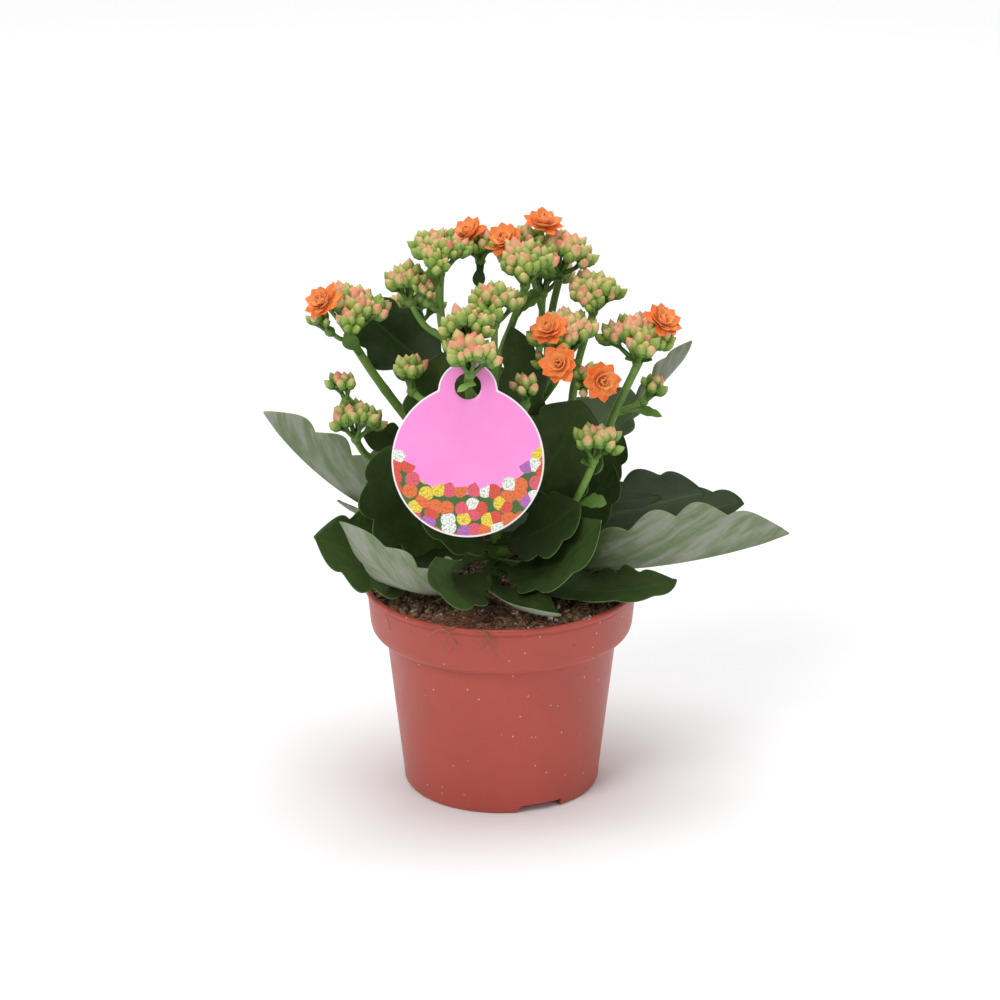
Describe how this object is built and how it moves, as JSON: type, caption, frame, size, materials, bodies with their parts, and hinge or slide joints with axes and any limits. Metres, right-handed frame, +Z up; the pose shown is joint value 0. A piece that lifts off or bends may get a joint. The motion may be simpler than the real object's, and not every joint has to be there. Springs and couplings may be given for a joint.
{
  "type": "potted live plant",
  "caption": "Potted kalanchoe: round tapered nursery pot filled with soil, fleshy scalloped leaves, upright sprays of buds and double blooms, and a round hang tag on one stalk.",
  "frame": {"origin": "centre of the pot's foot, in the plane that it stands on", "axes": "+Z up along the pot's axis, -Y towards the side that the tag faces, +X to the right seen from there"},
  "size_m": [0.2278, 0.1555, 0.2539],
  "materials": {
    "pot": "smooth satin, terracotta coloured",
    "soil": "loose, damp peat with pale bits",
    "card": "printed gloss, pink",
    "stem": "smooth green stalk",
    "leaf": "glossy dark green above, grey green below",
    "buds": "satin green with salmon tips",
    "petals": "satin orange"
  },
  "bodies": {
    "root": {"pot": "pot", "soil": "soil", "tag": "card", "main_stem": "stem", "bloom_a_1": "petals", "bloom_d_1": "petals", "bloom_f_1": "petals", "bloom_g_1": "petals", "bloom_i_1": "petals", "bloom_k_1": "petals", "bloom_k_2": "petals", "bloom_k_3": "petals", "leaf_back": "leaf", "leaf_back_left": "leaf", "leaf_back_right": "leaf", "leaf_back_right_high": "leaf", "leaf_back_right_low": "leaf", "leaf_back_upright": "leaf", "leaf_behind_ear": "leaf", "leaf_big_right": "leaf", "leaf_far_left": "leaf", "leaf_front_left": "leaf", "leaf_front_low": "leaf", "leaf_front_low_left": "leaf", "leaf_front_right": "leaf", "leaf_left_inner": "leaf", "leaf_left_small": "leaf", "leaf_low_left": "leaf", "leaf_low_right": "leaf", "leaf_mid_left": "leaf", "leaf_right_inner": "leaf", "leaf_right_small": "leaf", "leaf_right_upright": "leaf", "leaf_tall": "leaf", "leaf_under_tag_left": "leaf", "leaf_under_tag_right": "leaf", "leaf_upper_left": "leaf", "leaf_upper_right": "leaf", "leaf_wide": "leaf", "spray_a": "buds", "spray_b": "buds", "spray_c": "buds", "spray_d": "buds", "spray_f": "buds", "spray_g": "buds", "spray_h": "buds", "spray_i": "buds", "spray_j": "buds", "spray_k": "buds", "spray_l": "buds", "spray_m": "buds", "spray_n": "buds", "spray_o": "buds", "spray_p": "buds", "spray_q": "buds", "spray_r": "buds", "spray_s": "buds"}
  },
  "joints": []
}
